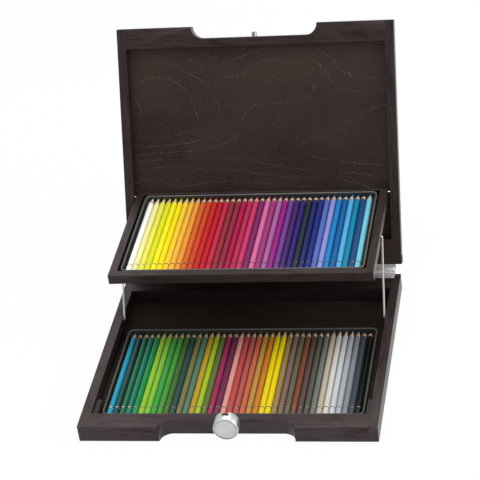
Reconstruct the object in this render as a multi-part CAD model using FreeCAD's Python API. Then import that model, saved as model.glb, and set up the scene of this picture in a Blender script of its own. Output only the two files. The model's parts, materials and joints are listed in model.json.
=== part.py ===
import FreeCAD, Part
import math
import os
from FreeCAD import Vector

os.makedirs("parts", exist_ok=True)

# A flat wooden pencil case. The lid is hinged at the back and lifts a level tray with it:
# the lid, the tray and two wire rods make a parallelogram on each side of the case.
# The origin is the middle of the underside of the box, X runs to the right, Y to the
# back and Z up. Everything is drawn as it stands open.

# Case, in millimetres
case_width = 370.0
case_depth = 321.0
box_height = 22.5
lid_height = 15.0
side_wall = 12.0
front_rail_width = 26.5
rear_rail_width = 33.0
floor_thickness = 3.0
lid_panel_thickness = 3.5
corner_round = 1.2
opening_angle = 115.0

# Finger cut-out in both front rails
cutout_length = 168.0
cutout_depth = 15.6

# Profile hinge along the back
hinge_end_inset = 8.0
hinge_setback = 8.4
hinge_drop = 0.6
hinge_plate = 2.0
hinge_top_flange = 9.5
hinge_rear_flange = 14.0
hinge_lid_leaf = 11.5
hinge_leaf_lift = 1.5
bead_radius = 2.5
bead_play = 0.06
socket_wall = 1.35
socket_lip_angle = 160.0
socket_heel_angle = -6.0
neck_thickness = 1.8
neck_angle = 135.0
hinge_strip_width = 9.8
hinge_strip_proud = 0.6

# Hinge screws
screws_per_leaf = 6
screw_shank_radius = 1.2
screw_head_radius = 2.2
screw_head_height = 1.2
screw_length = 8.0
screw_edge_margin = 0.6
screw_play = 0.05

# Colour pencils
pencil_flats = 6.85
pencil_length = 172.0
pencil_spacing = 0.04
pencil_point_radius = 0.3
sharpened_length = 15.3
box_row_room = 13.0
tray_row_room = 8.0

# Sheet metal pans that hold the pencils
pan_height = 9.0
pan_sheet = 0.8
pan_bead_radius = 1.2
pan_corner_radius = 5.5
pan_butt_play = 0.8
pan_tip_play = 0.3
box_pan_side_play = 2.6
tray_pan_side_play = 3.4
box_pan_front_gap = 12.2

# Tray
tray_height = 12.7
tray_side_gap = 3.2
tray_side_width = 10.0
tray_front_width = 11.0
tray_rear_width = 4.5
tray_floor_thickness = 3.0
tray_pan_front_gap = 1.5
tray_pan_rear_gap = 0.5
tray_heel_round = 2.0

# Lift linkage: the pin that joins tray and lid, and the wire rods
pin_radius = 1.2
pin_play = 0.06
pin_depth_in_lid = 7.0
pin_depth_in_tray = 6.0
pin_from_tray_back = 3.7
pin_above_tray_bottom = 9.2
tray_rest_gap = 0.2
tray_headroom = 4.1
lid_pin_reach = 104.4
rod_reach = 101.0
rod_drop = 3.5
rod_radius = 1.2
rod_play = 0.08
open_pivot_play = 0.3
rod_bend_radius = 1.4
rod_stub_in_box = 6.0
rod_stub_in_tray = 5.0
stub_end_gap = 0.5

# Blocks in the front corners that the tray comes to rest on
rest_block_width = 6.0
rest_block_length = 35.0

# Turning knob and the catch stud that it takes
knob_axis_below_rim = 4.3
knob_ground_gap = 2.2
knob_skirt_wall = 2.4
knob_face_thickness = 2.6
knob_rear_gap = 0.3
knob_front_recess = 0.3
knob_bevel = 1.5
knob_face_step = 0.3
knob_hub_radius = 4.5
knob_slot_width = 8.4
knob_slot_length = 7.2
spindle_radius = 2.0
bush_wall = 0.9
bush_play = 0.04
washer_radius = 4.2
washer_thickness = 0.8
nut_radius = 3.4
nut_height = 2.4
stud_radius = 3.3
stud_length = 6.6
stud_edge_round = 0.6
stud_shank_radius = 1.5
stud_shank_length = 5.0
stud_skirt_play = 0.5

overrun = 1.0
hair = 0.001

# Places worked out from the sizes above
half_width = case_width / 2
front_y = -case_depth / 2
rear_y = case_depth / 2
inner_x = half_width - side_wall
inner_front_y = front_y + front_rail_width
inner_rear_y = rear_y - rear_rail_width
case_top = box_height + lid_height
panel_underside = case_top - lid_panel_thickness
cutout_y = front_y + cutout_depth
hinge_length = case_width - 2 * hinge_end_inset
axis_y = rear_y + hinge_setback
axis_z = box_height - hinge_drop

pencil_corners = pencil_flats / math.cos(math.pi / 6)
pencil_pitch = pencil_corners + pencil_spacing
pan_length = pencil_length + pan_butt_play + pan_tip_play + pan_sheet
bead_offset = pan_bead_radius - pan_sheet / 2
bead_reach = bead_offset + pan_bead_radius
pan_outer_length = pan_length + 2 * bead_reach

tray_half = inner_x - tray_side_gap
tray_inner_x = tray_half - tray_side_width
tray_opening = tray_pan_front_gap + pan_outer_length + tray_pan_rear_gap
tray_depth = tray_front_width + tray_opening + tray_rear_width
closed_tray_z = panel_underside - tray_headroom - tray_height
rest_block_top = closed_tray_z - tray_rest_gap
closed_pin_z = closed_tray_z + pin_above_tray_bottom
closed_pin_y = axis_y - lid_pin_reach

swing = math.radians(opening_angle)


def opened(y, z):
    """Where a point of the closed lid comes to when the lid is open."""
    dy = y - axis_y
    dz = z - axis_z
    turned_y = dy * math.cos(swing) + dz * math.sin(swing)
    turned_z = dz * math.cos(swing) - dy * math.sin(swing)
    return axis_y + turned_y, axis_z + turned_z


pin_y, pin_z = opened(closed_pin_y, closed_pin_z)
tray_back_y = pin_y + pin_from_tray_back
tray_front_y = tray_back_y - tray_depth
tray_z = pin_z - pin_above_tray_bottom
rod_top_y = pin_y - rod_reach
rod_top_z = pin_z - rod_drop
rod_foot_y = axis_y - rod_reach
rod_foot_z = axis_z - rod_drop
rod_x = (inner_x + tray_half) / 2

knob_axis_height = box_height - knob_axis_below_rim
knob_radius = knob_axis_height - knob_ground_gap
knob_rear_y = cutout_y - knob_rear_gap
knob_front_y = front_y + knob_front_recess
knob_bore_radius = knob_radius - knob_skirt_wall
stud_z = knob_axis_height + knob_bore_radius - stud_radius - stud_skirt_play


def block(x0, x1, y0, y1, z0, z1):
    """A rectangular block between two corners."""
    return Part.makeBox(x1 - x0, y1 - y0, z1 - z0, Vector(x0, y0, z0))


def rod_along(start, end, radius):
    """A round bar from one point to another."""
    run = end - start
    return Part.makeCylinder(radius, run.Length, start, run)


def lies_on(edge, axis, value):
    """True where a whole edge lies in the plane axis = value."""
    bounds = edge.BoundBox
    low = {"x": bounds.XMin, "y": bounds.YMin, "z": bounds.ZMin}[axis]
    high = {"x": bounds.XMax, "y": bounds.YMax, "z": bounds.ZMax}[axis]
    return abs(low - value) < hair and abs(high - value) < hair


def softened(shape, faces, radius):
    """Rounds the edges where two of the named outer planes meet."""
    edges = []
    for edge in shape.Edges:
        hits = [axis for axis, value in faces if lies_on(edge, axis, value)]
        if len(hits) > 1:
            edges.append(edge)
    return shape.makeFillet(radius, edges)


def open_lid(shape):
    """Turns a piece drawn on the closed lid to its open place."""
    return shape.rotated(Vector(0, axis_y, axis_z), Vector(1, 0, 0), -opening_angle)


def mirrored(shape):
    """The same piece on the other side of the case."""
    return shape.mirror(Vector(0, 0, 0), Vector(1, 0, 0))


def save(name, *solids):
    """Writes one node, as one solid or as a group of like solids."""
    shape = solids[0] if len(solids) == 1 else Part.makeCompound(list(solids))
    shape.exportStep(os.path.join("parts", name + ".step"))


outer_box = [("x", half_width), ("x", -half_width), ("y", front_y), ("y", rear_y), ("z", 0)]
outer_lid = [("x", half_width), ("x", -half_width), ("y", front_y), ("z", case_top)]


def cutout_tool(z0, z1):
    """The long finger cut-out, with quarter rounds at both ends."""
    half = cutout_length / 2
    height = z1 - z0
    straight = half - cutout_depth
    middle = block(-straight, straight, front_y - overrun, cutout_y, z0, z1)
    solid = middle
    for side in (-1, 1):
        centre = Vector(side * straight, front_y, z0)
        end = Part.makeCylinder(cutout_depth, height, centre)
        solid = solid.fuse(end)
    return solid.removeSplitter()


# Box frame


def hinge_rebate():
    """Room for the flat top flange of the hinge in the back of the box."""
    half = hinge_length / 2
    return block(-half, half, rear_y - hinge_top_flange, rear_y + overrun,
                 box_height - hinge_plate, box_height + overrun)


def box_side():
    """Right side of the box, with the blind hole that carries the wire rod."""
    side = block(inner_x, half_width, front_y, rear_y, 0, box_height)
    side = softened(side, outer_box, corner_round)
    depth = rod_stub_in_box + stub_end_gap
    hole = Part.makeCylinder(rod_radius + rod_play, depth + overrun,
                             Vector(inner_x - overrun, rod_foot_y, rod_foot_z), Vector(1, 0, 0))
    return side.cut([hole, hinge_rebate()])


def knob_bore(radius):
    """A bar through the front rail on the axis of the knob."""
    return rod_along(Vector(0, cutout_y - overrun, knob_axis_height),
                     Vector(0, inner_front_y + overrun, knob_axis_height), radius)


def box_front():
    """Front rail of the box with the finger cut-out and the bore of the knob."""
    rail = block(-inner_x, inner_x, front_y, inner_front_y, 0, box_height)
    rail = softened(rail, outer_box, corner_round)
    bore = knob_bore(spindle_radius + bush_play + bush_wall)
    return rail.cut([cutout_tool(-overrun, box_height + overrun), bore])


def screw_places():
    """Even places along the hinge for its screws."""
    step = hinge_length / screws_per_leaf
    first = -hinge_length / 2 + step / 2
    return [first + step * number for number in range(screws_per_leaf)]


box_screw_z = box_height - hinge_plate - hinge_rear_flange / 2
lid_screw_z = box_height + hinge_leaf_lift + hinge_lid_leaf - screw_head_radius - screw_edge_margin


def screw_holes(z, radius):
    """Holes that run forward from behind the hinge plates."""
    back = rear_y + hinge_plate + overrun
    reach = screw_length + hinge_plate + stub_end_gap + overrun
    return [Part.makeCylinder(radius, reach, Vector(x, back, z), Vector(0, -1, 0)) for x in screw_places()]


def box_rear():
    """Rear rail of the box."""
    rail = block(-inner_x, inner_x, inner_rear_y, rear_y, 0, box_height)
    rail = softened(rail, outer_box, corner_round)
    return rail.cut([hinge_rebate()] + screw_holes(box_screw_z, screw_shank_radius + screw_play))


def box_floor():
    """Bottom panel, let in between the four rails."""
    return block(-inner_x, inner_x, inner_front_y, inner_rear_y, 0, floor_thickness)


def rest_block():
    """Block in the right front corner that the tray comes down on."""
    return block(inner_x - rest_block_width, inner_x, inner_front_y,
                 inner_front_y + rest_block_length, floor_thickness, rest_block_top)


save("box_right_side", box_side())
save("box_left_side", mirrored(box_side()))
save("box_front_rail", box_front())
save("box_rear_rail", box_rear())
save("box_floor", box_floor())
save("rest_block_right", rest_block())
save("rest_block_left", mirrored(rest_block()))


# Pencils and the pans that hold them


def pencil():
    """One hexagonal pencil, its point towards the back, its butt at Y = 0."""
    corners = []
    for number in range(7):
        angle = math.radians(60 * number)
        x = pencil_corners / 2 * math.cos(angle)
        z = pencil_corners / 2 * math.sin(angle)
        corners.append(Vector(x, 0, z))
    barrel = Part.Face(Part.makePolygon(corners)).extrude(Vector(0, pencil_length, 0))
    slope = (pencil_corners / 2 - pencil_point_radius) / sharpened_length
    wide = pencil_corners / 2 + overrun
    shoulder = pencil_length - sharpened_length - overrun / slope
    profile = [Vector(0, -overrun, 0), Vector(wide, -overrun, 0), Vector(wide, shoulder, 0),
               Vector(pencil_point_radius, pencil_length, 0), Vector(0, pencil_length, 0),
               Vector(0, -overrun, 0)]
    envelope = Part.Face(Part.makePolygon(profile)).revolve(Vector(0, 0, 0), Vector(0, 1, 0), 360)
    return barrel.common(envelope)


def pencil_row(count, butt_y, floor_z):
    """Pencils side by side on their flats."""
    one = pencil()
    first = -(count - 1) / 2 * pencil_pitch
    height = floor_z + pencil_flats / 2
    return [one.translated(Vector(first + number * pencil_pitch, butt_y, height)) for number in range(count)]


def rounded_plate(half_x, y0, y1, radius, z, height):
    """A plate with four round corners."""
    plate = block(-half_x, half_x, y0, y1, z, z + height)
    upright = [edge for edge in plate.Edges if edge.BoundBox.ZLength > height / 2]
    return plate.makeFillet(radius, upright)


def rounded_path(half_x, y0, y1, radius, z):
    """A closed line round the same outline."""
    plate = rounded_plate(half_x, y0, y1, radius, z, overrun)
    bottom = [face for face in plate.Faces if face.BoundBox.ZMax < z + overrun / 2]
    return bottom[0].OuterWire


def pan(half_x, wall_front_y, floor_z):
    """A drawn sheet pan, its rim rolled outwards; sizes are to the middle of its wall."""
    wall_rear_y = wall_front_y + pan_length
    half_sheet = pan_sheet / 2
    wall_height = pan_height - pan_bead_radius
    outer = rounded_plate(half_x + half_sheet, wall_front_y - half_sheet, wall_rear_y + half_sheet,
                          pan_corner_radius + half_sheet, floor_z, wall_height)
    inner = rounded_plate(half_x - half_sheet, wall_front_y + half_sheet, wall_rear_y - half_sheet,
                          pan_corner_radius - half_sheet, floor_z + pan_sheet, wall_height)
    path = rounded_path(half_x + bead_offset, wall_front_y - bead_offset, wall_rear_y + bead_offset,
                        pan_corner_radius + bead_offset, floor_z + wall_height)
    start = path.Vertexes[0].Point
    along = path.Edges[0].tangentAt(path.Edges[0].FirstParameter)
    ring = Part.Wire(Part.makeCircle(pan_bead_radius, start, along))
    bead = Part.Wire(path).makePipeShell([ring], True, False)
    return outer.cut(inner).fuse(bead).removeSplitter()


# As many pencils as the room between the side walls takes
box_pencils = int(2 * (inner_x - box_row_room) / pencil_pitch)
tray_pencils = int(2 * (tray_inner_x - tray_row_room) / pencil_pitch)
box_row_half = ((box_pencils - 1) * pencil_pitch + pencil_corners) / 2
tray_row_half = ((tray_pencils - 1) * pencil_pitch + pencil_corners) / 2
box_pan_half = box_row_half + box_pan_side_play + pan_sheet / 2
tray_pan_half = tray_row_half + tray_pan_side_play + pan_sheet / 2
box_pan_front_y = inner_front_y + box_pan_front_gap + bead_reach
tray_pan_front_y = tray_front_y + tray_front_width + tray_pan_front_gap + bead_reach
pencil_inset = pan_sheet / 2 + pan_butt_play
tray_floor_top = tray_z + tray_floor_thickness

save("box_pan", pan(box_pan_half, box_pan_front_y, floor_thickness))
save("box_pencils", *pencil_row(box_pencils, box_pan_front_y + pencil_inset, floor_thickness + pan_sheet))
save("tray_pan", pan(tray_pan_half, tray_pan_front_y, tray_floor_top))
save("tray_pencils", *pencil_row(tray_pencils, tray_pan_front_y + pencil_inset, tray_floor_top + pan_sheet))


# Tray


def tray_side():
    """Right side of the tray, with the holes for the lid pin and the wire rod."""
    top = tray_z + tray_height
    side = block(tray_half - tray_side_width, tray_half, tray_front_y, tray_back_y, tray_z, top)
    heel = [edge for edge in side.Edges if lies_on(edge, "y", tray_back_y) and lies_on(edge, "z", tray_z)]
    side = side.makeFillet(tray_heel_round, heel)
    pin_depth = pin_depth_in_tray + stub_end_gap
    pin_hole = Part.makeCylinder(pin_radius + pin_play, pin_depth + overrun,
                                 Vector(tray_half + overrun, pin_y, pin_z), Vector(-1, 0, 0))
    rod_depth = rod_stub_in_tray + stub_end_gap
    rod_hole = Part.makeCylinder(rod_radius + open_pivot_play, rod_depth + overrun,
                                 Vector(tray_half + overrun, rod_top_y, rod_top_z), Vector(-1, 0, 0))
    return side.cut([pin_hole, rod_hole])


tray_inner_front = tray_front_y + tray_front_width
tray_inner_rear = tray_back_y - tray_rear_width


def tray_rear():
    """Thin rear rail of the tray, its heel rounded to clear the lid panel."""
    top = tray_z + tray_height
    rail = block(-tray_inner_x, tray_inner_x, tray_inner_rear, tray_back_y, tray_z, top)
    heel = [edge for edge in rail.Edges if lies_on(edge, "y", tray_back_y) and lies_on(edge, "z", tray_z)]
    return rail.makeFillet(tray_heel_round, heel)


save("tray_right_side", tray_side())
save("tray_left_side", mirrored(tray_side()))
save("tray_front_rail", block(-tray_inner_x, tray_inner_x, tray_front_y, tray_inner_front,
                              tray_z, tray_z + tray_height))
save("tray_rear_rail", tray_rear())
save("tray_floor", block(-tray_inner_x, tray_inner_x, tray_inner_front, tray_inner_rear,
                         tray_z, tray_floor_top))


# Lid, drawn closed and then opened

strip_front_y = rear_y - hinge_strip_width


def lid_stile():
    """Right side of the lid frame, with the hole of the tray pin."""
    stile = block(inner_x, half_width, front_y, strip_front_y, box_height, case_top)
    stile = softened(stile, outer_lid, corner_round)
    depth = pin_depth_in_lid + stub_end_gap
    hole = Part.makeCylinder(pin_radius, depth + overrun,
                             Vector(inner_x - overrun, closed_pin_y, closed_pin_z), Vector(1, 0, 0))
    return stile.cut(hole)


def lid_front():
    """Front rail of the lid with the finger cut-out and the seat of the catch stud."""
    rail = block(-inner_x, inner_x, front_y, inner_front_y, box_height, case_top)
    rail = softened(rail, outer_lid, corner_round)
    seat = Part.makeCylinder(stud_shank_radius, stud_shank_length + stub_end_gap + overrun,
                             Vector(0, cutout_y - overrun, stud_z), Vector(0, 1, 0))
    return rail.cut([cutout_tool(box_height - overrun, case_top + overrun), seat])


def lid_strip():
    """Full width strip at the back of the lid that takes the hinge screws."""
    half = half_width + hinge_strip_proud
    strip = block(-half, half, strip_front_y, rear_y, box_height, case_top)
    faces = [("x", half), ("x", -half), ("y", rear_y), ("z", case_top)]
    strip = softened(strip, faces, corner_round)
    return strip.cut(screw_holes(lid_screw_z, screw_shank_radius + screw_play))


def catch_stud():
    """Round catch stud on the recessed face of the lid."""
    root = Vector(0, cutout_y, stud_z)
    head = Part.makeCylinder(stud_radius, stud_length, root, Vector(0, -1, 0))
    tip = [edge for edge in head.Edges if lies_on(edge, "y", cutout_y - stud_length)]
    head = head.makeFillet(stud_edge_round, tip)
    shank = Part.makeCylinder(stud_shank_radius, stud_shank_length, root, Vector(0, 1, 0))
    return head.fuse(shank)


def tray_pin():
    """Steel pin on which the right side of the tray hangs in the lid."""
    start = Vector(inner_x + pin_depth_in_lid, closed_pin_y, closed_pin_z)
    end = Vector(tray_half - pin_depth_in_tray, closed_pin_y, closed_pin_z)
    return rod_along(start, end, pin_radius)


save("lid_right_stile", open_lid(lid_stile()))
save("lid_left_stile", open_lid(mirrored(lid_stile())))
save("lid_front_rail", open_lid(lid_front()))
save("lid_rear_rail", open_lid(block(-inner_x, inner_x, inner_rear_y, strip_front_y,
                                     box_height, case_top)))
save("lid_hinge_strip", open_lid(lid_strip()))
save("lid_panel", open_lid(block(-inner_x, inner_x, inner_front_y, inner_rear_y,
                                 panel_underside, case_top)))
save("catch_stud", open_lid(catch_stud()))
save("tray_pivot_pins", open_lid(tray_pin()), open_lid(mirrored(tray_pin())))


# Wire rods


def wire_rod():
    """Right wire rod: a straight run with a stub turned in at the top and out at the foot."""
    foot = Vector(rod_x, rod_foot_y, rod_foot_z)
    top = Vector(rod_x, rod_top_y, rod_top_z)
    along = (top - foot).normalize()
    across = Vector(1, 0, 0)
    bend = rod_bend_radius
    chord = bend * (1 - math.cos(math.pi / 4))
    foot_end = Vector(inner_x + rod_stub_in_box, rod_foot_y, rod_foot_z)
    foot_turn = foot + across * bend
    foot_leave = foot + along * bend
    foot_mid = foot + (across + along) * chord
    top_end = Vector(tray_half - rod_stub_in_tray, rod_top_y, rod_top_z)
    top_turn = top - across * bend
    top_leave = top - along * bend
    top_mid = top - (across + along) * chord
    path = Part.Wire([
        Part.LineSegment(foot_end, foot_turn).toShape(),
        Part.Arc(foot_turn, foot_mid, foot_leave).toShape(),
        Part.LineSegment(foot_leave, top_leave).toShape(),
        Part.Arc(top_leave, top_mid, top_turn).toShape(),
        Part.LineSegment(top_turn, top_end).toShape(),
    ])
    ring = Part.Wire(Part.makeCircle(rod_radius, foot_end, across))
    return path.makePipeShell([ring], True, False)


save("right_rod", wire_rod())
save("left_rod", mirrored(wire_rod()))


# Profile hinge: a bead on the lid leaf turns in a socket on the box leaf


def along_hinge(points):
    """Runs a section, given as Y and Z from the hinge axis, along the whole hinge."""
    half = hinge_length / 2
    section = [Vector(-half, axis_y + y, axis_z + z) for y, z in points]
    section.append(section[0])
    return Part.Face(Part.makePolygon(section)).extrude(Vector(hinge_length, 0, 0))


def hinge_round(radius, extra):
    """A round bar on the hinge axis."""
    half = hinge_length / 2 + extra
    return rod_along(Vector(-half, axis_y, axis_z), Vector(half, axis_y, axis_z), radius)


def box_hinge():
    """Box leaf: top flange, rear flange and the open socket round the bead."""
    half = hinge_length / 2
    bore = bead_radius + bead_play
    socket_radius = bore + socket_wall
    flange_end = axis_y - bore - socket_wall / 2
    top = block(-half, half, rear_y - hinge_top_flange, flange_end, box_height - hinge_plate, box_height)
    rear = block(-half, half, rear_y, rear_y + hinge_plate,
                 box_height - hinge_plate - hinge_rear_flange, box_height - hinge_plate)
    mouth_reach = socket_radius + overrun
    lip = math.radians(socket_lip_angle)
    heel = math.radians(socket_heel_angle)
    mouth = [(0, 0), (mouth_reach * math.cos(heel), mouth_reach * math.sin(heel)),
             (mouth_reach, mouth_reach), (-mouth_reach, mouth_reach),
             (mouth_reach * math.cos(lip), mouth_reach * math.sin(lip))]
    mouth_cut = along_hinge(mouth)
    socket = hinge_round(socket_radius, 0).cut(mouth_cut)
    leaf = socket.fuse([top, rear]).cut(hinge_round(bore, overrun))
    holes = screw_holes(box_screw_z, screw_shank_radius + screw_play)
    return leaf.cut(holes).removeSplitter()


def lid_hinge():
    """Lid leaf: flat plate on the back of the lid, neck and bead."""
    half = hinge_length / 2
    low = box_height + hinge_leaf_lift
    plate = block(-half, half, rear_y, rear_y + hinge_plate, low, low + hinge_lid_leaf)
    lean = math.radians(neck_angle)
    reach = (hinge_setback - hinge_plate / 2) / -math.cos(lean)
    run_y = reach * math.cos(lean)
    run_z = reach * math.sin(lean)
    side_y = neck_thickness / 2 * math.sin(lean)
    side_z = -neck_thickness / 2 * math.cos(lean)
    neck = along_hinge([(side_y, side_z), (run_y + side_y, run_z + side_z),
                        (run_y - side_y, run_z - side_z), (-side_y, -side_z)])
    leaf = hinge_round(bead_radius, 0).fuse([neck, plate])
    holes = screw_holes(lid_screw_z, screw_shank_radius + screw_play)
    return leaf.cut(holes).removeSplitter()


def hinge_screws(z):
    """A row of round head screws, driven forward through a hinge plate."""
    screws = []
    for x in screw_places():
        seat = Vector(x, rear_y + hinge_plate, z)
        head = Part.makeCylinder(screw_head_radius, screw_head_height, seat, Vector(0, 1, 0))
        rim = [edge for edge in head.Edges if lies_on(edge, "y", seat.y + screw_head_height)]
        head = head.makeChamfer(screw_head_height / 2, rim)
        shank = Part.makeCylinder(screw_shank_radius, hinge_plate + screw_length, seat, Vector(0, -1, 0))
        screws.append(head.fuse(shank))
    return screws


save("hinge_box_leaf", box_hinge())
save("hinge_lid_leaf", open_lid(lid_hinge()))
save("hinge_box_screws", *hinge_screws(box_screw_z))
save("hinge_lid_screws", *[open_lid(screw) for screw in hinge_screws(lid_screw_z)])


# Turning knob on the front


def on_knob_axis(y):
    """A point on the axis of the knob."""
    return Vector(0, y, knob_axis_height)


def knob_bar(y0, y1, radius):
    """A round bar on the axis of the knob."""
    return rod_along(on_knob_axis(y0), on_knob_axis(y1), radius)


def knob_cup():
    """Turned cup with a bevelled face, a hub and the slot that lets the stud in."""
    back_of_face = knob_front_y + knob_face_thickness
    cup = knob_bar(knob_front_y, knob_rear_y, knob_radius)
    rim = [edge for edge in cup.Edges if lies_on(edge, "y", knob_front_y)]
    cup = cup.makeChamfer(knob_bevel, rim)
    hollow = knob_bar(back_of_face, knob_rear_y + overrun, knob_bore_radius)
    hollow = hollow.cut(knob_bar(back_of_face - overrun, knob_rear_y + 2 * overrun, knob_hub_radius))
    dish_radius = knob_radius - knob_bevel - knob_face_step
    dish = knob_bar(knob_front_y - overrun, knob_front_y + knob_face_step, dish_radius)
    half = knob_slot_width / 2
    slot_front = knob_rear_y - knob_slot_length
    slot = block(-half, half, slot_front, knob_rear_y + overrun, knob_axis_height + knob_hub_radius,
                 knob_axis_height + knob_radius + overrun)
    bore = knob_bar(back_of_face, knob_rear_y + overrun, spindle_radius)
    return cup.cut([hollow, dish, slot, bore])


def knob_washer():
    """Washer behind the front rail."""
    disc = knob_bar(inner_front_y, inner_front_y + washer_thickness, washer_radius)
    return disc.cut(knob_bar(inner_front_y - overrun, inner_front_y + washer_thickness + overrun,
                             spindle_radius + bush_play))


def knob_spindle():
    """Spindle from the back of the face through the rail, with its head behind the washer."""
    head_y = inner_front_y + washer_thickness
    shaft = knob_bar(knob_front_y + knob_face_thickness, head_y + nut_height, spindle_radius)
    return shaft.fuse(knob_bar(head_y, head_y + nut_height, nut_radius))


def knob_bush():
    """Thin bush in the front rail."""
    sleeve = knob_bar(cutout_y, inner_front_y, spindle_radius + bush_play + bush_wall)
    return sleeve.cut(knob_bar(cutout_y - overrun, inner_front_y + overrun, spindle_radius + bush_play))


save("knob_cup", knob_cup())
save("knob_spindle", knob_spindle())
save("knob_washer", knob_washer())
save("knob_bush", knob_bush())
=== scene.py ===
# %% [markdown]
# # Dressing a two-level pencil case
# The construction model gives every solid of the case in its right place. This lesson gives
# each of them the surface of the real thing: stained wood, lacquered pencils, enamelled pans
# and a few kinds of metal. The construction model is loaded first and its shapes are never
# changed. A piece that needs softer edges or more than one finish is copied, and the copy
# replaces it. Every new object has to be linked to the scene before it shows, so one function
# does both.

# %% Load the construction model
import json
import math
import random

import bmesh
import bpy
import numpy as np
from mathutils import Matrix, Vector


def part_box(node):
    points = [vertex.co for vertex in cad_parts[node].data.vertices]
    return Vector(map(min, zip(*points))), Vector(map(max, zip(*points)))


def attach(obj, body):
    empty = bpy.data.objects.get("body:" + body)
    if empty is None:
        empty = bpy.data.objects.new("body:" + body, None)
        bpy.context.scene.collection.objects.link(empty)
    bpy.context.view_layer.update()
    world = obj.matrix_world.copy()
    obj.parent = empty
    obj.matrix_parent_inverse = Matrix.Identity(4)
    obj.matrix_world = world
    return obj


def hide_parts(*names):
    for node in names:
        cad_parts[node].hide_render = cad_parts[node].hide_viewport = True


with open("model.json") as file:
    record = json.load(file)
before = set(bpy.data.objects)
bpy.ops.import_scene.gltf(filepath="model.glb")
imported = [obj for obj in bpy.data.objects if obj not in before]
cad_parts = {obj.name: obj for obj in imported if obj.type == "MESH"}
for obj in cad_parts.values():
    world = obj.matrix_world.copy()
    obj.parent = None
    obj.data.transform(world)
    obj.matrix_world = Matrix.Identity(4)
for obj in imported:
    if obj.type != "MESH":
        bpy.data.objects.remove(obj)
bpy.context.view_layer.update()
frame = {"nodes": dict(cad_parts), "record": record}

MM = 0.001
BEHAVIOUR = frame["record"]["behaviour"]
BODY_OF = {node: body for body, nodes in BEHAVIOUR["bodies"].items() for node in nodes}


def new_object(name, data):
    """An object that holds the data, linked to the scene."""
    made = bpy.data.objects.new(name, data)
    bpy.context.scene.collection.objects.link(made)
    return made


# %% [markdown]
# ## The camera
# The case was seen from above and a little from the right, through a long lens, so that its
# edges hardly converge. A camera can be aimed at a target by hand until the view looks right.
# Here its place and turn were worked out instead, by matching the corners of the model with
# those of the picture, because a degree of error would move every edge. Its right and its
# upward direction are written as they were found, and the third follows from those two.

# %% Place the camera
CAMERA_PLACE = Vector((494.75, -2048.04, 1545.35)) * MM
CAMERA_RIGHT = Vector((0.981266, 0.151028, -0.119619))
CAMERA_UP = Vector((0.015865, 0.555427, 0.831414))
LENS_MM = 153.486
SENSOR_MM = 36.0
CLIP_END = 20

camera_data = bpy.data.cameras.new("camera")
camera_data.lens = LENS_MM
camera_data.sensor_width = SENSOR_MM
camera_data.clip_end = CLIP_END
camera = new_object("camera", camera_data)
camera_back = CAMERA_RIGHT.cross(CAMERA_UP).normalized()
turn = Matrix((CAMERA_RIGHT, CAMERA_UP, camera_back)).transposed().to_4x4()
camera.matrix_world = Matrix.Translation(CAMERA_PLACE) @ turn
bpy.context.scene.camera = camera
bpy.context.scene.view_settings.view_transform = "Standard"
print("camera at", [round(value, 3) for value in CAMERA_PLACE], "lens", LENS_MM)

# %% [markdown]
# ## Small helpers for materials
# Colours are written as they look on a screen, and one function turns them into the linear
# numbers that a shader works with. A material could be put together by hand in the node editor.
# Written as code it reads from top to bottom like a recipe, so a second function adds any node
# to any tree, with its settings, and gives each of its sockets a plain value or a link. Most
# sockets go by their name. Those of a Math, a Mix or a Compare node share their names, so they
# go by their number, and the numbers that don't simply count up have a name here. A third
# function starts a material.

# %% Colour and node helpers
SHARE, COLOUR_A, COLOUR_B, MIXED = 0, 6, 7, 2  # of a Mix node that mixes colours
NUMBER_A, NUMBER_B = 2, 3  # of a Mix or a Compare node that takes numbers


def linear(code):
    """The linear colour of a screen colour such as 4a403e."""
    channels = [int(code[place:place + 2], 16) / 255 for place in (0, 2, 4)]
    bent = [c / 12.92 if c <= 0.04045 else ((c + 0.055) / 1.055) ** 2.4 for c in channels]
    return (*bent, 1.0)


def add_node(tree, kind, sockets=None, **settings):
    """Adds a node; a socket takes a plain value, or the node or the output that feeds it."""
    made = tree.nodes.new(kind)
    for name, value in settings.items():
        setattr(made, name, value)
    for name, value in (sockets or {}).items():
        source = value.outputs[0] if isinstance(value, bpy.types.Node) else value
        if isinstance(source, bpy.types.NodeSocket):
            tree.links.new(source, made.inputs[name])
        else:
            made.inputs[name].default_value = source
    return made


def empty_material(name):
    """A material and its tree, still empty."""
    material = bpy.data.materials.new(name)
    material.use_nodes = True
    material.node_tree.nodes.clear()
    return material, material.node_tree


print("white is", linear("ffffff"))

# %% [markdown]
# ## A pattern at a real size
# Wood, metal and paint all vary a little from place to place. An image could show that, but it
# would blur up close. A noise that is read at a size in millimetres stays sharp, and stretched
# along the grain or the brushing it looks like fibre or like die lines.

# %% Pattern helper
def stretched_noise(tree, place, sizes_mm, detail=4.0, distortion=0.0):
    """Noise whose blotches measure about the given millimetres along each axis."""
    scale = tuple(1 / (size * MM) for size in sizes_mm)
    scaled = add_node(tree, "ShaderNodeVectorMath", {0: place, 1: scale}, operation="MULTIPLY")
    return add_node(tree, "ShaderNodeTexNoise", {
        "Vector": scaled, "Scale": 1.0, "Detail": detail, "Distortion": distortion})


print("pattern helper ready")

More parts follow.
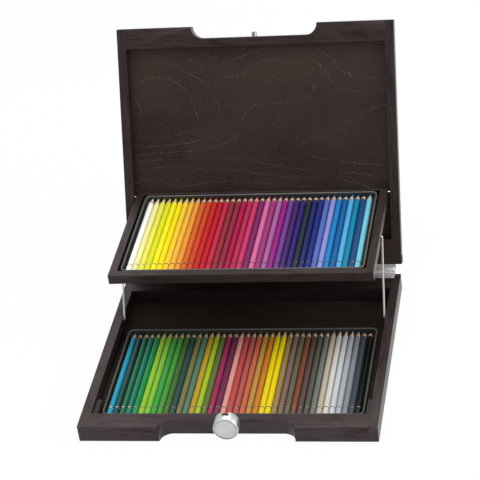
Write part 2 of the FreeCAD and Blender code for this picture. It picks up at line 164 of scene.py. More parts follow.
# %% [markdown]
# ## Stained beech
# The rails are beech or a wood like it: fine grained, with short pores, stained almost black
# with a warm cast and sealed with a satin varnish. The stain settles unevenly, which leaves
# faint smudges longer than they are wide. One grain could run through the whole case, but real
# boards are cut apart, so each board carries an attribute called board, the place along its
# own length, width and thickness in metres, and the grain runs along it however the board
# lies. The fibres of real beech are finer than half a millimetre, too fine to show from here,
# so a coarser streak stands for them. The varnish lets the stain show through and mirrors white
# at a low angle. The dye of the stain leaves a faint reddish sheen, which is the tint of the
# mirrored light. Where the varnish sank into the fibres or a smudge, that sheen is weaker, so
# both show in it faintly. An exported model keeps only about the mean of it.

# %% Stained beech
FIBRE_MM = (50, 1.8, 1.8)
PORE_MM = (6, 0.5, 0.5)
SMUDGE_MM = (30, 9, 9)
DYE_SHEEN = linear("f8e2e5")


def stained_beech():
    material, tree = empty_material("stained_beech")
    board = add_node(tree, "ShaderNodeAttribute", attribute_name="board").outputs["Vector"]
    fibre = stretched_noise(tree, board, FIBRE_MM, detail=5.0, distortion=0.6)
    pore = stretched_noise(tree, board, PORE_MM, detail=2.0)
    smudge = stretched_noise(tree, board, SMUDGE_MM, detail=2.0, distortion=0.4)
    streak = add_node(tree, "ShaderNodeMapRange", {
        "Value": fibre, "From Min": 0.35, "From Max": 0.68})
    wood = add_node(tree, "ShaderNodeMix", {
        SHARE: streak, COLOUR_A: linear("1f1816"), COLOUR_B: linear("29201d")},
        data_type="RGBA").outputs[MIXED]
    uneven = add_node(tree, "ShaderNodeMapRange", {
        "Value": smudge, "From Min": 0.54, "From Max": 0.72, "To Max": 0.7})
    wood = add_node(tree, "ShaderNodeMix", {
        SHARE: uneven, COLOUR_A: wood, COLOUR_B: linear("18120f")},
        data_type="RGBA").outputs[MIXED]
    pit = add_node(tree, "ShaderNodeMapRange", {
        "Value": pore, "From Min": 0.6, "From Max": 0.72, "To Max": 0.4})
    wood = add_node(tree, "ShaderNodeMix", {
        SHARE: pit, COLOUR_A: wood, COLOUR_B: linear("130e0c")},
        data_type="RGBA").outputs[MIXED]
    satin = add_node(tree, "ShaderNodeMapRange", {"Value": fibre, "To Min": 0.3, "To Max": 0.46})
    sunk = add_node(tree, "ShaderNodeMapRange", {
        "Value": fibre, "From Min": 0.35, "From Max": 0.65, "To Min": 0.47, "To Max": 0.67})
    dulled = add_node(tree, "ShaderNodeMapRange", {
        "Value": smudge, "From Min": 0.52, "From Max": 0.68, "To Min": 1.0, "To Max": 0.72})
    sheen = add_node(tree, "ShaderNodeMath", {0: sunk, 1: dulled}, operation="MULTIPLY")
    height = add_node(tree, "ShaderNodeMath", {0: fibre, 1: pore}, operation="SUBTRACT")
    relief = add_node(tree, "ShaderNodeBump", {
        "Height": height, "Distance": 0.06 * MM, "Strength": 0.3})
    shader = add_node(tree, "ShaderNodeBsdfPrincipled", {
        "Base Color": wood, "Roughness": satin, "IOR": 1.5, "Specular IOR Level": sheen,
        "Specular Tint": DYE_SHEEN, "Normal": relief})
    add_node(tree, "ShaderNodeOutputMaterial", {"Surface": shader})
    return material


STAINED_BEECH = stained_beech()
print("made", STAINED_BEECH.name)

# %% [markdown]
# ## Stained veneer
# The panel inside the lid is veneer peeled from a turning log and stained like the rails.
# Peeling cuts slowly through the growth rings, so each ring shows as one long, thin, wandering
# pale line, like the height lines of a map. The lines could be drawn by hand as curves, but a
# map is what they are: a large, calm noise is the height, and a line is drawn wherever it
# passes a whole level. Divided by the slope, the height above a level is the distance from the
# line, so all lines come out equally wide. A small, fast noise makes them tremble. The stain stands
# in clouds, and the panel is painted lighter towards the front edge, which is on top when the lid
# is open: painted light, for the stronger light on the top of the open lid.

# %% Growth lines
FIGURE_MM = (330, 170, 170)
GROWTH_LEVELS = 22
LINE_HALF_MM = 0.36
LINE_CORE = 0.25
TREMBLE_MM = (8, 6, 6)
TREMBLE = 7 * MM
STEP = 0.5 * MM


def growth_lines(tree, board):
    """One on a growth line, nought away from it."""
    tremble = stretched_noise(tree, board, TREMBLE_MM, detail=5.0).outputs["Color"]
    place = add_node(tree, "ShaderNodeVectorMath", {0: tremble, 1: (TREMBLE,) * 3, 2: board},
                     operation="MULTIPLY_ADD")
    heights = []
    for offset in ((0, 0, 0), (STEP, 0, 0), (0, STEP, 0)):
        moved = add_node(tree, "ShaderNodeVectorMath", {0: place, 1: offset}, operation="ADD")
        heights.append(stretched_noise(tree, moved, FIGURE_MM, detail=1.0, distortion=0.3))
    rises = [add_node(tree, "ShaderNodeMath", {0: higher, 1: heights[0]}, operation="SUBTRACT")
             for higher in heights[1:]]
    rise = add_node(tree, "ShaderNodeCombineXYZ", {"X": rises[0], "Y": rises[1]})
    slope = add_node(tree, "ShaderNodeVectorMath", {0: rise}, operation="LENGTH").outputs["Value"]
    level = add_node(tree, "ShaderNodeMath", {
        0: heights[0], 1: GROWTH_LEVELS}, operation="MULTIPLY")
    above = add_node(tree, "ShaderNodeMath", {0: level, 1: 0.5}, operation="PINGPONG")
    away = add_node(tree, "ShaderNodeMath", {0: above, 1: slope}, operation="DIVIDE")
    edge = LINE_HALF_MM * MM * GROWTH_LEVELS / STEP
    return add_node(tree, "ShaderNodeMapRange", {
        "Value": away, "From Min": edge, "From Max": edge * LINE_CORE})


print("growth lines fade out", LINE_HALF_MM, "mm from their middle")


# %% Stained veneer
# heights in metres over which the panel is painted lighter upwards: painted light on the open lid's
# top
PAINTED_LIGHT_FROM, PAINTED_LIGHT_TO = 0.12, 0.3
CLOUD_MM = (105, 80, 80)
FLECK_MM = (5, 1.2, 1.2)
FADE_MM = (50, 35, 35)


def stained_veneer():
    material, tree = empty_material("stained_veneer")
    board = add_node(tree, "ShaderNodeAttribute", attribute_name="board").outputs["Vector"]
    cloud = stretched_noise(tree, board, CLOUD_MM, detail=5.0, distortion=0.4)
    fleck = stretched_noise(tree, board, FLECK_MM, detail=4.0)
    fades = stretched_noise(tree, board, FADE_MM, detail=3.0)
    place = add_node(tree, "ShaderNodeTexCoord").outputs["Object"]
    up = add_node(tree, "ShaderNodeSeparateXYZ", {0: place}).outputs["Z"]
    # painted light: the panel is made lighter towards its top, where the open lid catches more
    # light
    painted_light_up = add_node(tree, "ShaderNodeMapRange", {
        "Value": up, "From Min": PAINTED_LIGHT_FROM, "From Max": PAINTED_LIGHT_TO, "To Max": 0.55})
    patch = add_node(tree, "ShaderNodeMapRange", {
        "Value": cloud, "From Min": 0.33, "From Max": 0.67, "To Max": 0.6})
    share = add_node(tree, "ShaderNodeMath", {0: painted_light_up, 1: patch}, operation="ADD")
    wood = add_node(tree, "ShaderNodeMix", {
        SHARE: share, COLOUR_A: linear("170e0b"), COLOUR_B: linear("362a24")},
        data_type="RGBA").outputs[MIXED]
    streak = add_node(tree, "ShaderNodeMapRange", {
        "Value": fleck, "From Min": 0.4, "From Max": 0.7, "To Max": 0.5})
    wood = add_node(tree, "ShaderNodeMix", {
        SHARE: streak, COLOUR_A: wood, COLOUR_B: linear("312622")},
        data_type="RGBA").outputs[MIXED]
    strength = add_node(tree, "ShaderNodeMapRange", {
        "Value": fades, "From Min": 0.36, "From Max": 0.62, "To Max": 0.5})
    line = add_node(tree, "ShaderNodeMath", {
        0: growth_lines(tree, board), 1: strength}, operation="MULTIPLY")
    wood = add_node(tree, "ShaderNodeMix", {
        SHARE: line, COLOUR_A: wood, COLOUR_B: linear("786a62")},
        data_type="RGBA").outputs[MIXED]
    sheen = add_node(tree, "ShaderNodeMapRange", {
        "Value": fleck, "From Min": 0.35, "From Max": 0.65, "To Min": 0.27, "To Max": 0.43})
    relief = add_node(tree, "ShaderNodeBump", {
        "Height": fleck, "Distance": 0.04 * MM, "Strength": 0.3})
    shader = add_node(tree, "ShaderNodeBsdfPrincipled", {
        "Base Color": wood, "Roughness": 0.5, "IOR": 1.5, "Specular IOR Level": sheen,
        "Specular Tint": DYE_SHEEN, "Normal": relief})
    add_node(tree, "ShaderNodeOutputMaterial", {"Surface": shader})
    return material


STAINED_VENEER = stained_veneer()
print("made", STAINED_VENEER.name)

# %% [markdown]
# ## Black board and black enamel
# The two bottoms and the little rest blocks are dark: the bottoms are dyed fibreboard with a
# fine even grain, and the blocks are the same board with a smoother coat. The pans are thin
# steel sheet, stove enamelled black. Their rolled rims are painted greyer than the inside: a
# painted highlight, for the light that the round beads catch. All four differ only in colour, gloss
# and grain, so one function
# makes them all.

# %% Dark finishes
CLOUD_TO_GRAIN = 25


def mottled(name, dark, light, size_mm, roughness, depth_mm, specular=0.5):
    """A plain finish with a fine, even variation of colour, gloss and relief."""
    material, tree = empty_material(name)
    place = add_node(tree, "ShaderNodeTexCoord").outputs["Object"]
    grain = stretched_noise(tree, place, (size_mm,) * 3, detail=4.0)
    cloud = stretched_noise(tree, place, (size_mm * CLOUD_TO_GRAIN,) * 3, detail=2.0)
    both = add_node(tree, "ShaderNodeMath", {0: grain, 1: cloud}, operation="MULTIPLY")
    share = add_node(tree, "ShaderNodeMapRange", {"Value": both, "From Min": 0.1, "From Max": 0.4})
    colour = add_node(tree, "ShaderNodeMix", {
        SHARE: share, COLOUR_A: linear(dark), COLOUR_B: linear(light)},
        data_type="RGBA").outputs[MIXED]
    gloss = add_node(tree, "ShaderNodeMapRange", {
        "Value": cloud, "To Min": roughness - 0.05, "To Max": roughness + 0.07})
    relief = add_node(tree, "ShaderNodeBump", {
        "Height": grain, "Distance": depth_mm * MM, "Strength": 0.5})
    shader = add_node(tree, "ShaderNodeBsdfPrincipled", {
        "Base Color": colour, "Roughness": gloss, "IOR": 1.5, "Specular IOR Level": specular,
        "Normal": relief})
    add_node(tree, "ShaderNodeOutputMaterial", {"Surface": shader})
    return material


DYED_BOARD = mottled("dyed_fibreboard", "1e1511", "2a1f19", size_mm=0.9, roughness=0.75,
                     depth_mm=0.08, specular=0.25)
BLOCK_COAT = mottled("coated_block", "1d1614", "282019", size_mm=0.8, roughness=0.55,
                     depth_mm=0.04, specular=0.45)
PAN_ENAMEL = mottled("black_stove_enamel", "2c2f2d", "3d403d", size_mm=1.2, roughness=0.18,
                     depth_mm=0.012)
# the rims' greyer finish is a painted highlight for the light that the round beads catch
RIM_PAINTED_HIGHLIGHT = mottled("rim_enamel_painted_highlight", "4b4d4a", "5e605c", size_mm=2.0, roughness=0.3,
                     depth_mm=0.02)
print("made", DYED_BOARD.name, BLOCK_COAT.name, PAN_ENAMEL.name, RIM_PAINTED_HIGHLIGHT.name)

# %% [markdown]
# ## Metals
# The hinge is an extruded aluminium profile, anodised satin: fine die lines run along it. The
# wire rods, pins and screws are bright drawn steel, the catch stud is chromed, the bush of the
# knob is turned brass, and each pencil has a band of bright foil. A metal has no colour of its
# own but tints what it mirrors, so these are pale colours with metallic one, and the finish
# lies in the roughness and the lines.

# %% Metals with lines along one axis
LINE_SHADE = 0.86


def lined_metal(name, code, roughness, line_mm, depth_mm):
    """A metal with fine lines that run along the longest size given in line_mm."""
    material, tree = empty_material(name)
    place = add_node(tree, "ShaderNodeTexCoord").outputs["Object"]
    line = stretched_noise(tree, place, line_mm, detail=3.0)
    darker = tuple(LINE_SHADE * channel for channel in linear(code)[:3]) + (1.0,)
    share = add_node(tree, "ShaderNodeMapRange", {"Value": line, "From Min": 0.3, "From Max": 0.7})
    tint = add_node(tree, "ShaderNodeMix", {
        SHARE: share, COLOUR_A: linear(code), COLOUR_B: darker},
        data_type="RGBA").outputs[MIXED]
    gloss = add_node(tree, "ShaderNodeMapRange", {
        "Value": line, "To Min": roughness - 0.05, "To Max": roughness + 0.08})
    relief = add_node(tree, "ShaderNodeBump", {
        "Height": line, "Distance": depth_mm * MM, "Strength": 0.4})
    shader = add_node(tree, "ShaderNodeBsdfPrincipled", {
        "Base Color": tint, "Metallic": 1.0, "Roughness": gloss, "Normal": relief})
    add_node(tree, "ShaderNodeOutputMaterial", {"Surface": shader})
    return material


SATIN_ALUMINIUM = lined_metal("satin_anodised_aluminium", "f2f2f0", roughness=0.42,
                              line_mm=(120, 0.7, 0.7), depth_mm=0.006)
BRIGHT_STEEL = lined_metal("bright_drawn_steel", "e0dedb", roughness=0.24,
                           line_mm=(0.7, 60, 60), depth_mm=0.002)
CHROME = lined_metal("chromed_steel", "a4a7aa", roughness=0.12, line_mm=(4, 4, 4), depth_mm=0.002)
BRASS = lined_metal("turned_brass", "c9a658", roughness=0.28, line_mm=(2, 0.4, 2), depth_mm=0.01)
FOIL = lined_metal("foil_band", "d6d0bf", roughness=0.13, line_mm=(0.8, 0.8, 0.8), depth_mm=0.002)
print("made", SATIN_ALUMINIUM.name, BRIGHT_STEEL.name, CHROME.name, BRASS.name, FOIL.name)

# %% [markdown]
# ## Turned aluminium
# The knob came off a lathe: its lines are circles round its own axis, and they spread each
# highlight into a soft fan. Rings could be drawn with a wave texture, but those are evenly
# spaced and look printed. Here the distance from the axis is worked out first, and a noise is
# read along it, so the circles are as uneven as a cutting edge leaves them.

# %% Turned aluminium
knob_low, knob_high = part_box("knob_cup")
KNOB_CENTRE = (knob_low + knob_high) / 2
RING_MM = (0.5, 0.5, 1)
DULL_MM = (9, 9, 9)


def turned_aluminium():
    """Aluminium with fine circles round the axis of the knob."""
    material, tree = empty_material("turned_aluminium")
    place = add_node(tree, "ShaderNodeTexCoord").outputs["Object"]
    centred = add_node(tree, "ShaderNodeVectorMath", {
        0: place, 1: tuple(KNOB_CENTRE)}, operation="SUBTRACT")
    flat = add_node(tree, "ShaderNodeVectorMath", {0: centred, 1: (1, 0, 1)}, operation="MULTIPLY")
    reach = add_node(tree, "ShaderNodeVectorMath", {0: flat}, operation="LENGTH").outputs["Value"]
    deep = add_node(tree, "ShaderNodeSeparateXYZ", {0: centred}).outputs["Y"]
    lines = add_node(tree, "ShaderNodeCombineXYZ", {"X": reach, "Y": deep})
    circle = stretched_noise(tree, lines, RING_MM, detail=3.0)
    cloud = stretched_noise(tree, place, DULL_MM, detail=2.0)
    ringed = add_node(tree, "ShaderNodeMapRange", {
        "Value": circle, "From Min": 0.3, "From Max": 0.7})
    tint = add_node(tree, "ShaderNodeMix", {
        SHARE: ringed, COLOUR_A: linear("d6d7d5"), COLOUR_B: linear("c6c7c5")},
        data_type="RGBA").outputs[MIXED]
    dulled = add_node(tree, "ShaderNodeMapRange", {
        "Value": cloud, "From Min": 0.4, "From Max": 0.75})
    tint = add_node(tree, "ShaderNodeMix", {
        SHARE: dulled, COLOUR_A: tint, COLOUR_B: linear("bdbebc")},
        data_type="RGBA").outputs[MIXED]
    gloss = add_node(tree, "ShaderNodeMapRange", {"Value": circle, "To Min": 0.34, "To Max": 0.46})
    relief = add_node(tree, "ShaderNodeBump", {
        "Height": circle, "Distance": 0.02 * MM, "Strength": 0.5})
    shader = add_node(tree, "ShaderNodeBsdfPrincipled", {
        "Base Color": tint, "Metallic": 1.0, "Roughness": gloss, "Normal": relief})
    add_node(tree, "ShaderNodeOutputMaterial", {"Surface": shader})
    return material


TURNED_ALUMINIUM = turned_aluminium()
print("made", TURNED_ALUMINIUM.name, "round", [round(value, 4) for value in KNOB_CENTRE])

# %% [markdown]
# ## Pencil finishes
# A colour pencil has three: several coats of glossy lacquer on the barrel, bare cedar where it
# was sharpened, and the waxy core. Each pencil could have materials of its own, seventy-eight
# times over. Instead every point carries the colour of its pencil in an attribute called
# pigment, and one lacquer and one core serve them all.

# %% Pencil finishes
CEDAR_LINE_MM = (0.6, 12, 0.6)


def pigment_finish(name, roughness, depth_mm, size_mm, coat):
    """A finish that takes its colour from the pencil it is on."""
    material, tree = empty_material(name)
    pigment = add_node(tree, "ShaderNodeAttribute", attribute_name="pigment").outputs["Color"]
    place = add_node(tree, "ShaderNodeTexCoord").outputs["Object"]
    ripple = stretched_noise(tree, place, size_mm, detail=3.0)
    shade = add_node(tree, "ShaderNodeMapRange", {"Value": ripple, "To Min": 0.86, "To Max": 1.06})
    tint = add_node(tree, "ShaderNodeVectorMath", {0: pigment, "Scale": shade}, operation="SCALE")
    relief = add_node(tree, "ShaderNodeBump", {
        "Height": ripple, "Distance": depth_mm * MM, "Strength": 0.3})
    shader = add_node(tree, "ShaderNodeBsdfPrincipled", {
        "Base Color": tint, "Roughness": roughness, "IOR": 1.5, "Specular IOR Level": 0.25,
        "Coat Weight": coat, "Coat Roughness": 0.12, "Normal": relief})
    add_node(tree, "ShaderNodeOutputMaterial", {"Surface": shader})
    return material


def bare_cedar():
    """Sharpened cedar: pale, dry, with darker growth lines along the pencil."""
    material, tree = empty_material("bare_cedar")
    place = add_node(tree, "ShaderNodeTexCoord").outputs["Object"]
    growth = stretched_noise(tree, place, CEDAR_LINE_MM, detail=3.0)
    share = add_node(tree, "ShaderNodeMapRange", {
        "Value": growth, "From Min": 0.35, "From Max": 0.7})
    colour = add_node(tree, "ShaderNodeMix", {
        SHARE: share, COLOUR_A: linear("dcbf9f"), COLOUR_B: linear("b48b68")},
        data_type="RGBA").outputs[MIXED]
    relief = add_node(tree, "ShaderNodeBump", {
        "Height": growth, "Distance": 0.05 * MM, "Strength": 0.5})
    shader = add_node(tree, "ShaderNodeBsdfPrincipled", {
        "Base Color": colour, "Roughness": 0.75, "Normal": relief})
    add_node(tree, "ShaderNodeOutputMaterial", {"Surface": shader})
    return material


LACQUER = pigment_finish("pencil_lacquer", roughness=0.36, depth_mm=0.01, size_mm=(3, 14, 3),
                         coat=0.3)
CORE = pigment_finish("waxy_core", roughness=0.6, depth_mm=0.03, size_mm=(0.7, 0.7, 0.7), coat=0.0)
CEDAR = bare_cedar()
print("made", LACQUER.name, CORE.name, CEDAR.name)

# %% [markdown]
# ## Copies with softened edges
# No edge of a real board is a perfect corner: it is sanded, and it catches a thin line of light.
# A bevel node in the shader could fake that, but it would be lost when the model leaves
# Blender. So a copy of the construction solid is merged, its flat faces are made whole, and a
# real bevel runs round its edges. Hardened normals keep the flat faces flat.

# %% Copy and soften
SAME_POINT = 2e-6
FLAT = math.radians(0.5)
SHARP = math.radians(35)
BEVEL_SEGMENTS = 2


def merged_copy(node, name):
    """A copy of a construction node as one clean mesh."""
    mesh = frame["nodes"][node].data.copy()
    mesh.name = name
    work = bmesh.new()
    work.from_mesh(mesh)
    bmesh.ops.remove_doubles(work, verts=work.verts, dist=SAME_POINT)
    bmesh.ops.dissolve_limit(work, angle_limit=FLAT, verts=work.verts, edges=work.edges)
    work.to_mesh(mesh)
    work.free()
    return new_object(name, mesh)


def baked(piece):
    """Turns an object with modifiers into a plain mesh."""
    bpy.context.view_layer.update()
    graph = bpy.context.evaluated_depsgraph_get()
    plain = bpy.data.meshes.new_from_object(piece.evaluated_get(graph))
    plain.name = piece.name
    piece.modifiers.clear()
    piece.data = plain
    return piece


def softened(piece, width_mm):
    """A narrow bevel round every edge that counts as sharp."""
    piece.data.shade_smooth()
    piece.data.set_sharp_from_angle(angle=SHARP)
    bevel = piece.modifiers.new("soft edge", "BEVEL")
    bevel.width = width_mm * MM
    bevel.segments = BEVEL_SEGMENTS
    bevel.limit_method = "ANGLE"
    bevel.angle_limit = SHARP
    bevel.harden_normals = True
    return baked(piece)


print("copy helpers ready")

# %% Place in the model
def hand_in(piece, node):
    """Gives a piece its place in the model."""
    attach(piece, BODY_OF[node])
    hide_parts(node)


def dress(piece, node, slot, *materials):
    """Gives a piece its finishes and its place in the model."""
    if piece.data.materials:  # clearing puts every face back on the first finish
        piece.data.materials.clear()
    for material in materials:
        piece.data.materials.append(material)
    hand_in(piece, node)


print("hand-in helpers ready")

# %% [markdown]
# ## The boards
# Every board gets the attribute board that its finish reads. A plain object coordinate would
# run the grain of all boards the same way, across the short ones too. So the longest side of
# each board counts as its length. The lid stands open, so its boards are first turned back, in
# thought, to where they lie when it is closed. A chance shift for each board, with a fixed
# seed, keeps two boards from showing the same piece of grain.

# %% Grain coordinates
LID_JOINT = next(joint for joint in BEHAVIOUR["joints"] if joint["name"] == "lid_hinge")
HINGE_PLACE = Vector(LID_JOINT["pos_m"])
OPENING = math.radians(LID_JOINT["range_deg"][1])
CLOSE_LID = (Matrix.Translation(HINGE_PLACE) @ Matrix.Rotation(OPENING, 4, "X")
             @ Matrix.Translation(-HINGE_PLACE))
OPEN_LID = CLOSE_LID.inverted()
FARTHEST_SHIFT = 3


def points_of(mesh):
    """The points of a mesh as rows of three numbers."""
    places = np.empty(len(mesh.vertices) * 3, np.float32)
    mesh.vertices.foreach_get("co", places)
    return places.reshape(-1, 3)


def lid_closed(places):
    """Points of the open lid, turned back to the closed lid."""
    turned = np.array(CLOSE_LID)
    return places @ turned[:3, :3].T + turned[:3, 3]


def mark_board(piece, body, chance):
    """Stores each point's place along, across and through its board."""
    places = points_of(piece.data)
    if body == "lid":
        places = lid_closed(places)
    sides = places.max(0) - places.min(0)
    order = np.argsort(-sides)
    shift = [chance.uniform(0, FARTHEST_SHIFT) for _ in range(3)]
    stored = piece.data.attributes.new("board", "FLOAT_VECTOR", "POINT")
    stored.data.foreach_set("vector", (places[:, order] + shift).astype(np.float32).ravel())


print("the lid stands open at", round(math.degrees(OPENING), 1), "degrees")

# %% The boards themselves
BOARD_NODES = ("box_front_rail", "box_rear_rail", "box_left_side", "box_right_side",
               "lid_front_rail", "lid_rear_rail", "lid_left_stile", "lid_right_stile",
               "lid_hinge_strip", "tray_front_rail", "tray_rear_rail", "tray_left_side",
               "tray_right_side")
SANDED_MM = 0.35
STRIP_SANDED_MM = 1.0
VENEER_SANDED_MM = 0.1
GRAIN_SEED = 7
grain_chance = random.Random(GRAIN_SEED)
for node in BOARD_NODES:
    sanded = STRIP_SANDED_MM if node == "lid_hinge_strip" else SANDED_MM
    board = softened(merged_copy(node, node + "_board"), sanded)
    mark_board(board, BODY_OF[node], grain_chance)
    dress(board, node, "stained_wood", STAINED_BEECH)
panel = softened(merged_copy("lid_panel", "lid_panel_veneer"), VENEER_SANDED_MM)
mark_board(panel, "lid", grain_chance)
dress(panel, "lid_panel", "panel_veneer", STAINED_VENEER)
print("boards", len(BOARD_NODES), "and the panel with", len(panel.data.polygons), "faces")

# %% Bottoms and rest blocks
BLOCK_SANDED_MM = 0.5


def refinish(node, material):
    """Gives a construction node a better material and keeps its shape."""
    for place in frame["nodes"][node].material_slots:
        place.material = material


refinish("box_floor", DYED_BOARD)
refinish("tray_floor", DYED_BOARD)
for node in ("rest_block_left", "rest_block_right"):
    rest = softened(merged_copy(node, node + "_coated"), BLOCK_SANDED_MM)
    dress(rest, node, "black_block", BLOCK_COAT)
print("bottoms and blocks done")

# %% [markdown]
# ## The pans
# A pan is drawn from one sheet: a flat bottom, a small radius, an upright wall, and a rim that
# is rolled outwards into a bead. It could be a box with bevels and a curve for the bead, but
# then sheet and bead would be two shapes pushed into each other. All of it is one section
# carried round a rectangle with round corners. So the section is written once as a list of
# points, outwards and upwards from the middle of the wall, and carried round that path; the
# inner and the outer end of the section are closed with a flat face each.

# %% Pan section and path
SHEET = 0.8 * MM
BEAD = 1.2 * MM
DRAW_RADIUS = 0.6 * MM
DRAW_STEPS = 3
BEAD_STEPS = 14
PAN_CORNER = 5.5 * MM
CORNER_STEPS = 8


def arc_points(centre, radius, first, last, steps):
    """Points on an arc, in degrees."""
    angles = [math.radians(first + (last - first) * step / steps) for step in range(steps + 1)]
    return [(centre[0] + radius * math.cos(a), centre[1] + radius * math.sin(a)) for a in angles]


def closed_mesh(name, work):
    """Turns the faces outwards and ends the work on a mesh."""
    bmesh.ops.recalc_face_normals(work, faces=work.faces)
    mesh = bpy.data.meshes.new(name)
    work.to_mesh(mesh)
    work.free()
    return mesh


def pan_section(height):
    """The section of the sheet from the bottom inside, round the bead, to the bottom outside."""
    half = SHEET / 2
    bead_centre = (BEAD - half, height - BEAD)
    meets = math.degrees(math.acos((half - bead_centre[0]) / BEAD))
    inside = arc_points(
        (-half - DRAW_RADIUS, SHEET + DRAW_RADIUS), DRAW_RADIUS, -90, 0, DRAW_STEPS)
    bead = arc_points(bead_centre, BEAD, 180, -meets, BEAD_STEPS)
    outside = arc_points((half - DRAW_RADIUS, DRAW_RADIUS), DRAW_RADIUS, 0, -90, DRAW_STEPS)
    return inside + bead + outside, len(inside), len(inside) + len(bead)


def rounded_path(half_x, half_y, corner):
    """Points round a rectangle with round corners, each with its outward direction."""
    path = []
    for turn, (side_x, side_y) in enumerate(((1, 1), (-1, 1), (-1, -1), (1, -1))):
        middle = (side_x * (half_x - corner), side_y * (half_y - corner))
        for step in range(CORNER_STEPS + 1):
            angle = math.radians(90 * (turn + step / CORNER_STEPS))
            out = (math.cos(angle), math.sin(angle))
            path.append((middle[0] + corner * out[0], middle[1] + corner * out[1], out))
    return path


print("the path round a pan has", len(rounded_path(1, 1, PAN_CORNER)), "points")

# %% The pans themselves
def build_pan(node):
    """A pan of the size of its construction node, in two finishes."""
    low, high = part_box(node)
    middle = (low + high) / 2
    overhang = 2 * BEAD - SHEET / 2
    section, rim_start, rim_end = pan_section(high.z - low.z)
    path = rounded_path(
        (high.x - low.x) / 2 - overhang, (high.y - low.y) / 2 - overhang, PAN_CORNER)
    work = bmesh.new()
    rings = []
    for x, y, out in path:
        rings.append([
            work.verts.new((middle.x + x + u * out[0], middle.y + y + u * out[1], low.z + z))
            for u, z in section])
    for here, after in zip(rings, rings[1:] + rings[:1]):
        for step in range(len(section) - 1):
            face = work.faces.new((here[step], after[step], after[step + 1], here[step + 1]))
            face.smooth = True
            # the bead's faces take the second finish, the rims' painted highlight
            face.material_index = int(rim_start <= step < rim_end - 1)
    work.faces.new([ring[0] for ring in rings])
    work.faces.new([ring[-1] for ring in reversed(rings)])
    pan = new_object(node + "_enamelled", closed_mesh(node + "_enamelled", work))
    dress(pan, node, "pan_enamel", PAN_ENAMEL, RIM_PAINTED_HIGHLIGHT)
    return pan


for node in ("box_pan", "tray_pan"):
    pan = build_pan(node)
    print(pan.name, len(pan.data.polygons), "faces")

# %% [markdown]
# ## One pencil
# A pencil is a hexagon with slightly rounded corners. The sharpener cuts a cone, and where the
# cone meets the flat sides it leaves the scalloped edge that everyone knows. A boolean of a
# hexagon and a cone gives that edge, but with many thin faces. For each direction round the
# pencil the radius of the hexagon is known, so the place where the cone reaches that radius is
# known too, and the scallops come out by themselves. Seven points to a side are enough. A
# narrow band of mirror foil goes round the barrel near its end. Each face keeps a number, its
# zone, that says which finish it gets.

# %% Sizes of a pencil
row_low, row_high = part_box("box_pencils")
PENCIL_FLATS = row_high.z - row_low.z
PENCIL_LENGTH = row_high.y - row_low.y
SIDES = 6
PENCIL_CORNERS = PENCIL_FLATS / math.cos(math.pi / SIDES)
CONE_LENGTH = 15.3 * MM
TIP_RADIUS = 0.3 * MM
CORE_RADIUS = 1.9 * MM
BAND_AT = 12.1 * MM
BAND_WIDTH = 1.8 * MM
BUTT_EDGE = 0.25 * MM
SIDE_TURN = 360 / SIDES
SIDE_DEGREES = (-27, -23, -12, 0, 12, 23, 27)
PENCIL_SHARP = math.radians(40)
LACQUER_ZONE, BAND_ZONE, CEDAR_ZONE, CORE_ZONE = range(4)
print("a pencil is", round(PENCIL_FLATS / MM, 2), "mm over its flats and",
      round(PENCIL_LENGTH / MM, 1), "mm long")

# %% One pencil
def skin(work, levels):
    """Joins neighbouring rings of points with faces; a list of faces for each pair."""
    return [[work.faces.new(corners) for corners in zip(
        below, above, above[1:] + above[:1], below[1:] + below[:1])]
        for below, above in zip(levels, levels[1:])]


def pencil_rings():
    """The rings of a pencil from butt to tip, each a list of points, and the zones between."""
    slope = (PENCIL_CORNERS / 2 - TIP_RADIUS) / CONE_LENGTH
    angles = [math.radians(SIDE_TURN * (side + 0.5) + part)
              for side in range(SIDES) for part in SIDE_DEGREES]
    radii = [PENCIL_FLATS / 2 / math.cos(math.radians(part)) for part in SIDE_DEGREES] * SIDES
    shoulder = [PENCIL_LENGTH - (radius - TIP_RADIUS) / slope for radius in radii]
    core_y = PENCIL_LENGTH - (CORE_RADIUS - TIP_RADIUS) / slope

    def ring(reach, along):
        return [(r * math.cos(a), y, r * math.sin(a)) for r, y, a in zip(reach, along, angles)]

    def level(reach, y):
        return ring(reach, [y] * len(angles))

    rings = [level([r - BUTT_EDGE for r in radii], 0), level(radii, BUTT_EDGE),
             level(radii, BAND_AT), level(radii, BAND_AT + BAND_WIDTH), ring(radii, shoulder),
             level([CORE_RADIUS] * len(angles), core_y),
             level([TIP_RADIUS] * len(angles), PENCIL_LENGTH)]
    zones = [LACQUER_ZONE, LACQUER_ZONE, BAND_ZONE, LACQUER_ZONE, CEDAR_ZONE, CORE_ZONE]
    return rings, zones


def pencil_mesh():
    """One closed pencil with its axis on Y and its butt at Y = 0."""
    rings, zones = pencil_rings()
    work = bmesh.new()
    zone_layer = work.faces.layers.int.new("zone")
    levels = [[work.verts.new(place) for place in ring] for ring in rings]
    for faces, zone in zip(skin(work, levels), zones):
        for face in faces:
            face[zone_layer] = zone
            face.smooth = True
    work.faces.new(levels[0])[zone_layer] = CEDAR_ZONE
    work.faces.new(list(reversed(levels[-1])))[zone_layer] = CORE_ZONE
    mesh = closed_mesh("pencil", work)
    mesh.set_sharp_from_angle(angle=PENCIL_SHARP)
    return mesh


print("a pencil has", len(pencil_mesh().polygons), "faces")

# %% [markdown]
# ## Rows of pencils
# Seventy-eight pencils differ only in place and colour. A loop could copy them one by one, but
# Geometry Nodes keep the rule in one place: a line of points, one pencil on each, and a tiny
# chance shift along the pencils because nobody lays them dead straight. Each copy stores its
# number. The tree ends by making the copies real and by giving each zone its finish.
# Afterwards the number picks the colour from a list.

